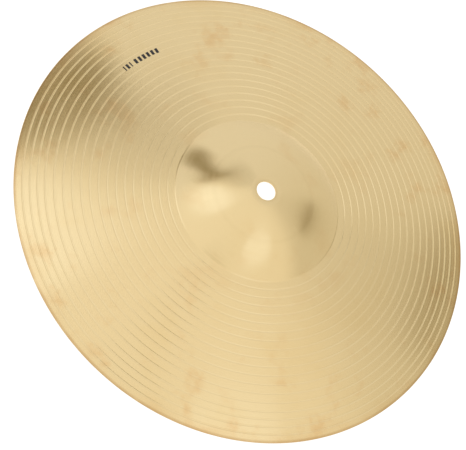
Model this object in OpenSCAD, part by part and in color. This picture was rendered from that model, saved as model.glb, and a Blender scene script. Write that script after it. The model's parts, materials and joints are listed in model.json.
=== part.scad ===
// Splash cymbal: one disc of sheet brass with a pressed bell and turned tone grooves.
// It lies bell up on its edge. The origin is on the axis, in the plane the edge rests on.

/* [Disc] */
// Outside diameter, over the rounded edge
disc_d = 304.8; // [250:0.1:370]
// Thickness of the sheet
sheet_t = 0.7; // [0.5:0.05:1.2]
// Rise of the bow, from the edge to the root of the bell
bow_rise = 11.7; // [6:0.1:18]

/* [Bell] */
// Diameter of the bell at its root
bell_d = 110; // [80:0.5:135]
// Rise of the bell, from its root to the land around the hole
bell_rise = 13.4; // [8:0.1:20]
// Radius of the bend where the bell meets the bow, at the middle of the sheet
root_bend_r = 3; // [2:0.1:12]

/* [Centre hole] */
// Diameter of the hole that a stand's sleeve passes through
hole_d = 12.7; // [8:0.1:16]
// Width of the flat land pressed around the hole
land_w = 2.6; // [1:0.1:5]

/* [Tone grooves] */
// Number of rings turned into the top of the bow
groove_count = 18; // [5:1:24]
// Depth of a ring
groove_depth = 0.15; // [0.05:0.01:0.2]
// Nose radius of the turning tool
tool_r = 1; // [0.5:0.05:1.5]
// Distance from the root of the bell to the first ring
groove_start = 5; // [4:0.1:12]
// Distance from the edge to the last ring
groove_end = 5; // [3:0.1:12]
// Number of gaps nearest the edge that are narrower than the others
close_gaps = 3; // [1:1:4]
// Width of those gaps, as a share of the others
close_ratio = 0.83; // [0.6:0.01:1]

/* [Hidden] */
$fn = 240;

brass = [0.86, 0.76, 0.53];
dome_steps = 24;
bend_steps = 6;
edge_steps = 12;

half_t = sheet_t / 2;
bell_r = bell_d / 2;
hole_r = hole_d / 2;
land_r = hole_r + land_w;

// The middle of the sheet ends half a thickness inside the rounded edge
edge_r = disc_d / 2 - half_t;
edge_z = half_t;
root_z = edge_z + bow_rise;
land_z = root_z + bell_rise;

// A dome centred on the axis falls by drop between the radii r_in and r_out.
// This is how far its centre lies below its height at r_out.
function dome_depth(r_in, r_out, drop) = (r_out^2 - r_in^2 - drop^2) / (2 * drop);

bow_depth = dome_depth(bell_r, edge_r, bow_rise);
bow_centre = [0, edge_z - bow_depth];
bow_dome_r = norm([edge_r, bow_depth]);

crown_depth = dome_depth(land_r, bell_r, bell_rise);
crown_centre = [0, root_z - crown_depth];
crown_dome_r = norm([bell_r, crown_depth]);

// The bend's centre is above the sheet, where its circle touches both domes
bow_reach = bow_dome_r + root_bend_r;
crown_reach = crown_dome_r + root_bend_r;
centre_gap = crown_centre.y - bow_centre.y;
bend_above_bow = (bow_reach^2 - crown_reach^2 + centre_gap^2) / (2 * centre_gap);
bend_centre = [sqrt(bow_reach^2 - bend_above_bow^2), bow_centre.y + bend_above_bow];

// Slopes of the sheet, in degrees from level, where one curve gives way to the next
land_slope = asin(land_r / crown_dome_r);
crown_slope = asin(bend_centre.x / crown_reach);
root_slope = asin(bend_centre.x / bow_reach);
edge_slope = asin(edge_r / bow_dome_r);

// A point at distance r from centre, on the side that a slope of a degrees faces
function facing(centre, r, a) = centre + r * [sin(a), cos(a)];

// Stations [point, slope] along the middle of the sheet. A curve starts at its second
// station, because its first is the last of the curve before it.
function curve(centre, r, from, to, steps) =
    [for (i = [1 : steps]) let (a = from + (to - from) * i / steps) [facing(centre, r, a), a]];

stations = concat(
    [[[hole_r, land_z], 0], [[land_r, land_z], 0]],
    curve(crown_centre, crown_dome_r, land_slope, crown_slope, dome_steps),
    curve(bend_centre, -root_bend_r, crown_slope, root_slope, bend_steps),
    curve(bow_centre, bow_dome_r, root_slope, edge_slope, dome_steps)
);
last = len(stations) - 1;

top_line = [for (s = stations) facing(s[0], half_t, s[1])];
round_edge = [
    for (i = [1 : edge_steps - 1])
        facing(stations[last][0], half_t, edge_slope + 180 * i / edge_steps)
];
under_line = [for (i = [last : -1 : 0]) facing(stations[i][0], -half_t, stations[i][1])];

// Radius of each turned ring, counted outwards from the bell
wide_gaps = groove_count - 1 - close_gaps;
first_groove_r = bell_r + groove_start;
last_groove_r = disc_d / 2 - groove_end;
groove_gap = (last_groove_r - first_groove_r) / (wide_gaps + close_gaps * close_ratio);
function groove_r(i) =
    first_groove_r + groove_gap * (min(i, wide_gaps) + close_ratio * max(i - wide_gaps, 0));

// Half section of the plain sheet, before turning
module sheet_section() {
    polygon(concat(top_line, round_edge, under_line));
}

// Half section of what the tool's round nose takes out of the top of the bow
module groove_section(r) {
    nose_reach = bow_dome_r + half_t + tool_r - groove_depth;
    translate(facing(bow_centre, nose_reach, asin(r / bow_dome_r)))
        circle(r = tool_r);
}

module cymbal() {
    color(brass)
        rotate_extrude()
            difference() {
                sheet_section();
                for (i = [0 : groove_count - 1])
                    groove_section(groove_r(i));
            }
}

cymbal();
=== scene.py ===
import json
import math

import bpy
import numpy as np
from mathutils import Matrix, Vector


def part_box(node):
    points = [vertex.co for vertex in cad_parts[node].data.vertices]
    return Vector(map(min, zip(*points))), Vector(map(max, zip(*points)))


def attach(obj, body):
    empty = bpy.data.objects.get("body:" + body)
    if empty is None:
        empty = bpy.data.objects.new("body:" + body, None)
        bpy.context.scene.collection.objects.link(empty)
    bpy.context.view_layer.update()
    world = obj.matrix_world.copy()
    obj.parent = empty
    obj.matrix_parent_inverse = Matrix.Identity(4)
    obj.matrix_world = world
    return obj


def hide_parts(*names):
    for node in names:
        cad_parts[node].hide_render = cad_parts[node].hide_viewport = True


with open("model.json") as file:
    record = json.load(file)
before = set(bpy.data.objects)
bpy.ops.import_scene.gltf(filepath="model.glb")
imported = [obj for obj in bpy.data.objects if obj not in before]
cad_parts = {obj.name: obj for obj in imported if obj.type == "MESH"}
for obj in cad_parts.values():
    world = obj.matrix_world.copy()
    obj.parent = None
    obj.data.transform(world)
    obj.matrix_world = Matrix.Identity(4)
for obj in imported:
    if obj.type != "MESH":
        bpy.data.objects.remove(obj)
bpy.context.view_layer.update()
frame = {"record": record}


# ---------------------------------------------------------------------------------------
# The sheet. One disc of brass, 0.7 mm thick, pressed into a shallow bow with a domed bell.
# Its edge is turned round, and a hole is punched in a small flat land on top of the bell.
# The top of the bow is turned with rings on a lathe, which also leaves the fine finish.
# ---------------------------------------------------------------------------------------
scene = bpy.context.scene
mm = 0.001
low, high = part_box("cymbal")
stand_hole = frame["record"]["mounts"][0]
disc_r = (high[0] - low[0]) / 2
hole_r = stand_hole["dims"]["r_mm"] * mm
land_z = stand_hole["pos_m"][2]

half_t = 0.35 * mm
land_w = 2.6 * mm
land_r = hole_r + land_w
bell_r = 55 * mm
bell_rise = 13.4 * mm
root_bend_r = 3 * mm
edge_r = disc_r - half_t
edge_z = half_t
root_z = land_z - bell_rise
bow_rise = root_z - edge_z


def dome(r_in, r_out, drop, z_out):
    """Centre and radius of the arc that falls by drop between two radii and ends at z_out."""
    depth = (r_out**2 - r_in**2 - drop**2) / (2 * drop)
    return np.array([0, z_out - depth]), math.hypot(r_out, depth)


def facing(centre, reach, slope):
    """The point at that reach from a centre, on the side that the slope faces."""
    return centre + reach * np.array([math.sin(slope), math.cos(slope)])


bow_centre, bow_dome_r = dome(bell_r, edge_r, bow_rise, edge_z)
crown_centre, crown_dome_r = dome(land_r, bell_r, bell_rise, root_z)

bow_reach = bow_dome_r + root_bend_r
crown_reach = crown_dome_r + root_bend_r
centre_gap = crown_centre[1] - bow_centre[1]
bend_above_bow = (bow_reach**2 - crown_reach**2 + centre_gap**2) / (2 * centre_gap)
bend_centre = bow_centre + [math.sqrt(bow_reach**2 - bend_above_bow**2), bend_above_bow]

land_slope = math.asin(land_r / crown_dome_r)
crown_slope = math.asin(bend_centre[0] / crown_reach)
root_slope = math.asin(bend_centre[0] / bow_reach)
edge_slope = math.asin(edge_r / bow_dome_r)

# The rings are cut by a round-nosed tool. The last three gaps are a little narrower. Each
# ring has a thin lip of plain bow on both sides of it.
ring_count = 18
ring_depth = 0.15 * mm
tool_r = 1.0 * mm
ring_half_w = math.sqrt(2 * tool_r * ring_depth - ring_depth**2)
close_gaps = 3
close_ratio = 0.83
wide_gaps = ring_count - 1 - close_gaps
ring_margin = 5 * mm
first_ring_r = bell_r + ring_margin
last_ring_r = disc_r - ring_margin
ring_gap = (last_ring_r - first_ring_r) / (wide_gaps + close_gaps * close_ratio)


def ring_r(i):
    """How far out the middle of a ring is, counted from the bell."""
    return first_ring_r + ring_gap * (min(i, wide_gaps) + close_ratio * max(i - wide_gaps, 0))


crown_points = 30
root_points = 7
ring_points = 7
plain_points = 4
edge_points = 11
under_points = 20


def bell_line(side):
    """Points and slopes of the sheet from the hole to the bow, on its top (1) or underside (-1)."""
    line = [(np.array([r, land_z + side * half_t]), 0.0) for r in (hole_r, land_r)]
    for slope in np.linspace(land_slope, crown_slope, crown_points)[1:]:
        line.append((facing(crown_centre, crown_dome_r + side * half_t, slope), slope))
    for slope in np.linspace(crown_slope, root_slope, root_points)[1:]:
        line.append((facing(bend_centre, side * half_t - root_bend_r, slope), slope))
    return line


def bow_line(slope_in, slope_out, count, side):
    """Points and slopes of one plain stretch of the bow, on its top (1) or underside (-1)."""
    skin_r = bow_dome_r + side * half_t
    return [(facing(bow_centre, skin_r, slope), slope) for slope in np.linspace(slope_in, slope_out, count)]


def ring_line(middle):
    """Points and slopes down into the ring at a slope of the bow, and out of it again."""
    line = []
    for across in ring_half_w * np.linspace(-1, 1, ring_points):
        dip = ring_depth - tool_r + math.sqrt(tool_r**2 - across**2)
        slope = middle + across / bow_dome_r
        tilt = math.asin(across / tool_r)
        line.append((facing(bow_centre, bow_dome_r + half_t - dip, slope), slope - tilt))
    return line


lip_w = 0.04 * mm
lip = (ring_half_w + lip_w) / bow_dome_r
middles = [math.asin(ring_r(i) / bow_dome_r) for i in range(ring_count)]
top = bell_line(1) + bow_line(root_slope + lip, middles[0] - lip, plain_points, 1)
in_ring = [0.0] * len(top)
for here, there in zip(middles, middles[1:] + [edge_slope + lip]):
    ring = ring_line(here)
    plain = bow_line(here + lip, there - lip, plain_points, 1)
    top += ring + plain
    in_ring += [1.0] * len(ring) + [0.0] * len(plain)
round_edge = [
    (facing(facing(bow_centre, bow_dome_r, edge_slope), half_t, turn), turn)
    for turn in edge_slope + np.linspace(0, math.pi, edge_points)[1:-1]
]
under = (bell_line(-1) + bow_line(root_slope, edge_slope, under_points, -1)[1:])[::-1]
bore = [(np.array([hole_r, land_z + side * half_t]), -math.pi / 2) for side in (-1, 1)]
outline = top + round_edge + [(point, slope + math.pi) for point, slope in under] + bore
in_ring += [0.0] * (len(outline) - len(in_ring))

around = 320
turns = np.linspace(0, 2 * math.pi, around, endpoint=False)
radii = np.array([point[0] for point, _ in outline])
heights = np.array([point[1] for point, _ in outline])
slopes = np.array([slope for _, slope in outline])


def revolve(outward, upward):
    """Turns a half section about the axis, one circle of points for each point of it."""
    x = np.outer(outward, np.cos(turns))
    y = np.outer(outward, np.sin(turns))
    z = np.outer(upward, np.ones(around))
    return np.stack([x, y, z], axis=2).reshape(-1, 3)


circles = len(outline)
faces = [
    (i * around + j, (i + 1) % circles * around + j,
     (i + 1) % circles * around + (j + 1) % around, i * around + (j + 1) % around)
    for i in range(circles)
    for j in range(around)
]
brass_mesh = bpy.data.meshes.new("brass_disc")
brass_mesh.from_pydata(revolve(radii, heights).tolist(), [], faces)
brass_mesh.shade_smooth()
brass_mesh.normals_split_custom_set_from_vertices(revolve(np.sin(slopes), np.cos(slopes)).tolist())
ring_marks = brass_mesh.attributes.new("in_ring", "FLOAT", "POINT")
ring_marks.data.foreach_set("value", np.repeat(in_ring, around))
brass_disc = bpy.data.objects.new("brass_disc", brass_mesh)
scene.collection.objects.link(brass_disc)


class Shade:
    """A socket in a material's node tree. Arithmetic on it adds Math nodes, and node() any other."""

    def __init__(self, tree, socket=None):
        self.tree = tree
        self.socket = socket

    def node(self, kind, settings=None, links=None, output=0):
        made = self.tree.nodes.new(kind)
        for name, value in (settings or {}).items():
            setattr(made, name, value)
        for name, value in (links or {}).items():
            if isinstance(value, Shade):
                self.tree.links.new(value.socket, made.inputs[name])
            else:
                made.inputs[name].default_value = value
        return Shade(self.tree, made.outputs[output] if made.outputs else None)

    def other(self, output):
        """Another output of the node that this socket is on."""
        return Shade(self.tree, self.socket.node.outputs[output])

    def math(self, operation, *values):
        return self.node("ShaderNodeMath", {"operation": operation}, dict(enumerate(values)))

    def root(self):
        return self.math("SQRT", self)

    def fade(self, low, high, start=0.0, end=1.0):
        """Eases from start to end as this value goes from low to high."""
        return self.node(
            "ShaderNodeMapRange",
            {"interpolation_type": "SMOOTHSTEP"},
            {"Value": self, "From Min": low, "From Max": high, "To Min": start, "To Max": end},
        )

    def noise(self, scale, detail):
        """Noise over this place, with that many lumps to each unit of it."""
        return self.node(
            "ShaderNodeTexNoise",
            links={"Vector": self, "Scale": scale, "Detail": detail, "Roughness": 0.6},
        )

    def blend(self, under, over):
        """The colour over laid on the colour under, by this value."""
        return self.node("ShaderNodeMix", {"data_type": "RGBA"}, {0: self, 6: under, 7: over}, output=2)

    def __add__(self, other):
        return self.math("ADD", self, other)

    def __sub__(self, other):
        return self.math("SUBTRACT", self, other)

    def __rsub__(self, other):
        return self.math("SUBTRACT", other, self)

    def __mul__(self, other):
        return self.math("MULTIPLY", self, other)

    def __truediv__(self, other):
        return self.math("DIVIDE", self, other)

    __radd__ = __add__
    __rmul__ = __mul__


def material(name):
    """A new empty material, and the place to start its nodes."""
    made = bpy.data.materials.new(name)
    made.use_nodes = True
    made.node_tree.nodes.clear()
    return made, Shade(made.node_tree)


bright_brass = (0.935, 0.738, 0.400, 1)
fresh_brass = (1.0, 0.81, 0.46, 1)
dull_brass = (0.74, 0.545, 0.27, 1)
warm_tarnish = (0.87, 0.63, 0.27, 1)
# The two tarnish colours are also used at the edge, where they paint both tarnish and the curved rim's
# reflection
orange_tarnish_and_reflection = (0.83, 0.52, 0.22, 1)
brown_tarnish_and_reflection = (0.60, 0.37, 0.15, 1)
polished = 0.13
brushed = 0.18
lathe_pitch = mm / 2.6
lathe_drift = 9.0
lathe_depth = 0.01 * mm
lump_scale = 46.0
cloud_scale = 17.0
scuff_r = 32.5 * mm
scuff_half_w = 2 * mm

turned_brass, start = material("turned_brass")
spot = start.node("ShaderNodeTexCoord", output="Object")
x = start.node("ShaderNodeSeparateXYZ", links={"Vector": spot})
y = x.other("Y")
radius = (x * x + y * y).root()

# Fine turned lines, close together outward and slow to change round the disc
lathe_place = start.node(
    "ShaderNodeCombineXYZ",
    links={"X": radius / lathe_pitch, "Y": x * lathe_drift, "Z": y * lathe_drift},
)
lathe_lines = lathe_place.noise(1.0, 3.0)

# Tarnish, stronger toward the edge, a handling mark on the bell, painted shade at the hole, painted
# reflection at the edge
lumps = spot.noise(lump_scale, 8.0)
clouds = spot.noise(cloud_scale, 5.0)
toward_edge = radius.fade(bell_r, 145 * mm, 0.3, 1.0)
bell_scuff = radius.fade(scuff_r - scuff_half_w, scuff_r) * (1 - radius.fade(scuff_r, scuff_r + scuff_half_w))
# Painted shade: a darker ring round the hole, standing in for the shade of its dented, punched rim
hole_rim_shade = 1 - radius.fade(hole_r + 0.4 * mm, hole_r + 2.2 * mm)
# Partly real tarnish and partly painted reflection: a warm band and a darker line along the curved edge
edge_band_tarnish_and_reflection = radius.fade(disc_r - 9 * mm, disc_r - 1 * mm) * clouds.fade(0.38, 0.62, 0.15, 1.0)
edge_line_tarnish_and_reflection = radius.fade(disc_r - 2.2 * mm, disc_r - 0.6 * mm) * lumps.fade(0.25, 0.6, 0.4, 1.0)
ring_mask = start.node("ShaderNodeAttribute", {"attribute_name": "in_ring"}, output="Fac")

brass_colour = (ring_mask * 0.5).blend(bright_brass, fresh_brass)
brass_colour = (bell_scuff * 0.08).blend(brass_colour, dull_brass)
brass_colour = (clouds.fade(0.48, 0.74) * toward_edge * 0.38).blend(brass_colour, warm_tarnish)
brass_colour = (lumps.fade(0.52, 0.74) * toward_edge * 0.6).blend(brass_colour, orange_tarnish_and_reflection)
# Painted shade round the hole
brass_colour = (hole_rim_shade * 0.35).blend(brass_colour, dull_brass)
# Tarnish mixed with a painted reflection of the curved rim, along the edge
brass_colour = (edge_band_tarnish_and_reflection * 0.22).blend(brass_colour, orange_tarnish_and_reflection)
brass_colour = (edge_line_tarnish_and_reflection * 0.6).blend(brass_colour, brown_tarnish_and_reflection)
lathe_bumps = start.node(
    "ShaderNodeBump", links={"Strength": 0.5, "Distance": lathe_depth, "Height": lathe_lines}
)
brass_finish = start.node(
    "ShaderNodeBsdfPrincipled",
    links={
        "Base Color": brass_colour,
        "Metallic": 1.0,
        "Roughness": lathe_lines.fade(0.3, 0.7, polished, brushed),
        "Anisotropic": 0.9,
        "Anisotropic Rotation": 0.25,
        "Normal": lathe_bumps,
    },
)
start.node("ShaderNodeOutputMaterial", links={"Surface": brass_finish})
brass_mesh.materials.append(turned_brass)

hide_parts("cymbal")
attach(brass_disc, "root")


# ---------------------------------------------------------------------------------------
# The size mark. A short row of plain bars in black ink, pad-printed on the bow near its
# edge. The ink is a skin about 0.02 mm thick that follows the sheet, down into a ring too.
# ---------------------------------------------------------------------------------------
ink_t = 0.02 * mm
ink_depth = 0.07 * mm
mark_turn = math.radians(170.0)
mark_length = 28.5 * mm
mark_low = 117.2 * mm
mark_high = 120.9 * mm
thin_bar = 0.9 * mm
short_bar = 1.8 * mm
plain_bar = 2.0 * mm
bar_widths = [thin_bar, short_bar, thin_bar, 0] + 6 * [plain_bar]

crossed = [r for r in radii[: len(top)] if mark_low < r < mark_high]
bar_radii = np.array([mark_low] + crossed + [mark_high])
bar_heights = np.interp(bar_radii, radii[: len(top)], heights[: len(top)]) + ink_t
bar_gap = (mark_length - sum(bar_widths)) / (len(bar_widths) - 1)

points = []
faces = []
along = -mark_length / 2
for width in bar_widths:
    first = len(points)
    rows = len(bar_radii)
    for end in (along, along + width):
        turn = mark_turn - end / mark_low
        points += [(r * math.cos(turn), r * math.sin(turn), z) for r, z in zip(bar_radii, bar_heights)]
    if width > 0:
        faces += [(i, i + rows, i + rows + 1, i + 1) for i in range(first, first + rows - 1)]
    along += width + bar_gap
ink_mesh = bpy.data.meshes.new("ink_bars")
ink_mesh.from_pydata(points, [], faces)
ink_bars = bpy.data.objects.new("ink_bars", ink_mesh)
skin = ink_bars.modifiers.new("skin", "SOLIDIFY")
skin.thickness = ink_depth
skin.offset = -1
scene.collection.objects.link(ink_bars)

full_ink = (0.012, 0.012, 0.016, 1)
worn_ink = (0.05, 0.045, 0.04, 1)

black_ink, start = material("black_ink")
spot = start.node("ShaderNodeTexCoord", output="Object")
ink_wear = spot.noise(900.0, 3.0).fade(0.35, 0.75)
ink_finish = start.node(
    "ShaderNodeBsdfPrincipled",
    links={"Base Color": ink_wear.blend(full_ink, worn_ink), "Roughness": 0.45},
)
start.node("ShaderNodeOutputMaterial", links={"Surface": ink_finish})
ink_mesh.materials.append(black_ink)
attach(ink_bars, "root")


# ---------------------------------------------------------------------------------------
# The table. A plain sheet of white opal glass, lit from within, so that little shadow falls
# on it. The disc lies on it, on its edge.
# ---------------------------------------------------------------------------------------
half_table = 6.0
table_gap = 0.05 * mm
table_mesh = bpy.data.meshes.new("table")
table_mesh.from_pydata(
    [(-half_table, -half_table, 0), (half_table, -half_table, 0),
     (half_table, half_table, 0), (-half_table, half_table, 0)],
    [], [(0, 1, 2, 3)],
)
floor = bpy.data.objects.new("floor", table_mesh)
floor.location.z = -table_gap
scene.collection.objects.link(floor)

opal_table, start = material("opal_table")
opal = start.node(
    "ShaderNodeBsdfPrincipled",
    links={
        "Base Color": (0.25, 0.25, 0.25, 1),
        "Roughness": 0.9,
        "Specular IOR Level": 0.0,
        "Emission Color": (1.0, 1.0, 1.0, 1),
        "Emission Strength": 0.95,
    },
)
start.node("ShaderNodeOutputMaterial", links={"Surface": opal})
table_mesh.materials.append(opal_table)


# ---------------------------------------------------------------------------------------
# The studio. A pale room, warmer on the right and dimmer near the horizon, with soft lit
# panels over the disc and dark gaps between them, which show as streaks on turned brass.
# Most of the panels' places, sizes and strengths came from a numerical fit, then rounded.
# ---------------------------------------------------------------------------------------
left_wall = (0.797, 0.793, 0.807, 1)
right_wall = (0.68, 0.65, 0.59, 1)
low_wall = (0.60, 0.585, 0.57, 1)

room = bpy.data.worlds.new("room")
room.use_nodes = True
room.node_tree.nodes.clear()
start = Shade(room.node_tree)
toward = start.node("ShaderNodeTexCoord", output="Generated")
sideways = start.node("ShaderNodeSeparateXYZ", links={"Vector": toward})
walls = sideways.fade(-0.5, 0.6).blend(left_wall, right_wall)
walls = sideways.other("Z").fade(0.0, 0.14).blend(low_wall, walls)
room_light = start.node("ShaderNodeBackground", links={"Color": walls, "Strength": 1.0})
start.node("ShaderNodeOutputWorld", links={"Surface": room_light})
scene.world = room


cut_blur = 0.15


def card(name, across, away, width, depth, colour, soft, cover=1.0, distance=1.5, spin=0.0, cut=None):
    """A soft-edged panel over the disc, lit or dark, that shows only in shiny surfaces.

    Its place and size are in degrees of sky, to the right of straight up and away from the
    viewer. cover is how solid its middle is, and soft the share of its radius that fades.
    With cut, only the part farther off than that share of half its depth is kept.
    """
    tilt = math.radians(math.hypot(across, away))
    turn = math.atan2(away, across)
    back = Vector((math.sin(tilt) * math.cos(turn), math.sin(tilt) * math.sin(turn), math.cos(tilt)))
    rightward = Vector((0, 1, 0)).cross(back).normalized()
    facing_disc = Matrix((rightward, back.cross(rightward), back)).transposed().to_4x4()
    spun = Matrix.Rotation(math.radians(spin), 4, "Z")
    half_w = distance * math.tan(math.radians(width / 2))
    half_d = distance * math.tan(math.radians(depth / 2))
    panel_mesh = bpy.data.meshes.new(name)
    panel_mesh.from_pydata(
        [(-half_w, -half_d, 0), (half_w, -half_d, 0), (half_w, half_d, 0), (-half_w, half_d, 0)],
        [], [(0, 1, 2, 3)],
    )
    panel = bpy.data.objects.new(name, panel_mesh)
    panel.matrix_world = Matrix.Translation(back * distance) @ facing_disc @ spun
    panel.visible_camera = False
    panel.visible_diffuse = False
    panel.visible_shadow = False
    panel.visible_transmission = False
    scene.collection.objects.link(panel)

    paint, start = material(name)
    spot = start.node("ShaderNodeTexCoord", output="Object")
    u = start.node("ShaderNodeSeparateXYZ", links={"Vector": spot})
    v = u.other("Y") / half_d
    u = u / half_w
    solid = (u * u + v * v).root().fade(1 - soft, 1.0, cover, 0.0)
    if cut is not None:
        solid = solid * v.fade(cut, cut + cut_blur)
    clear = start.node("ShaderNodeBsdfTransparent")
    lit = start.node("ShaderNodeEmission", links={"Color": colour, "Strength": 1.0})
    surface = start.node("ShaderNodeMixShader", links={0: solid, 1: clear, 2: lit})
    start.node("ShaderNodeOutputMaterial", links={"Surface": surface})
    panel_mesh.materials.append(paint)


warm_glow = (0.97, 0.94, 0.90, 1)
cool_glow = (1.21, 1.36, 1.69, 1)
lamp_glow = (2.0, 2.15, 2.4, 1)
brown_gap = (0.16, 0.11, 0, 1)
card("right_head", 21, 0, 19, 26, cool_glow, cover=0.66, soft=0.25, distance=3.9, spin=4)
card("left_head", -21.5, 3, 23.5, 30, cool_glow, cover=0.91, soft=0.4, distance=3.5, spin=-42)
card("left_step", -26.5, 15.5, 58, 24, brown_gap, cover=0.3, soft=0.75, distance=3, spin=3, cut=0)
card("left_arm", -27, 20, 38, 5, brown_gap, soft=0.7, distance=2.9, spin=72)
card("near_panel", 13, -14.5, 122, 93, warm_glow, cover=0.63, soft=0.46, distance=1.7, spin=-20)
card("left_lamp", -23.5, 3, 5, 3, lamp_glow, cover=0.35, soft=1.0, distance=1.65, spin=-25)
card("right_haze", 29, 46, 34, 43, brown_gap, cover=0.14, soft=1.0, distance=1.6, spin=-40)
card("left_haze", -18, 29.5, 19, 24.5, brown_gap, cover=0.17, soft=0.4, distance=1.55, spin=18)
card("right_gap", 29, 43.5, 6.5, 33, brown_gap, soft=0.62, spin=5)
card("left_core", -32, 14.5, 3.5, 17, brown_gap, soft=0.36, distance=1.45, spin=-19)
card("left_tail", -36.5, 19, 22, 15, brown_gap, cover=0.94, soft=1.0, distance=1.4, spin=-53)
card("viewer_gap", 8, -42, 34, 22, brown_gap, soft=0.6, distance=0.78)
card("left_gap", -49, 20.5, 22, 25, brown_gap, cover=0.8, soft=0.8, distance=0.33, spin=-3)


# ---------------------------------------------------------------------------------------
# The camera looks down on the bell from 58 degrees above the table, turned so that the
# far side of the disc lies to the upper right.
# ---------------------------------------------------------------------------------------
camera_distance = 0.78
camera_height = math.radians(57.58)
camera_roll = math.radians(43.39)
aim_down = 0.0208
aim_left = 0.0006
view_width = 0.3814
sensor = 36

back = Vector((0, -math.cos(camera_height), math.sin(camera_height)))
right = Vector((1, 0, 0))
aim = (-back - aim_down * back.cross(right) - aim_left * right).normalized()
side = aim.cross(back.cross(right)).normalized()
over = side.cross(aim)
screen_x = math.cos(camera_roll) * side + math.sin(camera_roll) * over
screen_y = -math.sin(camera_roll) * side + math.cos(camera_roll) * over
lens = bpy.data.cameras.new("camera")
lens.sensor_width = sensor
lens.lens = sensor / view_width
camera = bpy.data.objects.new("camera", lens)
turned = Matrix((screen_x, screen_y, -aim)).transposed().to_4x4()
camera.matrix_world = Matrix.Translation(back * camera_distance) @ turned
scene.collection.objects.link(camera)
scene.camera = camera
scene.view_settings.view_transform = "Standard"
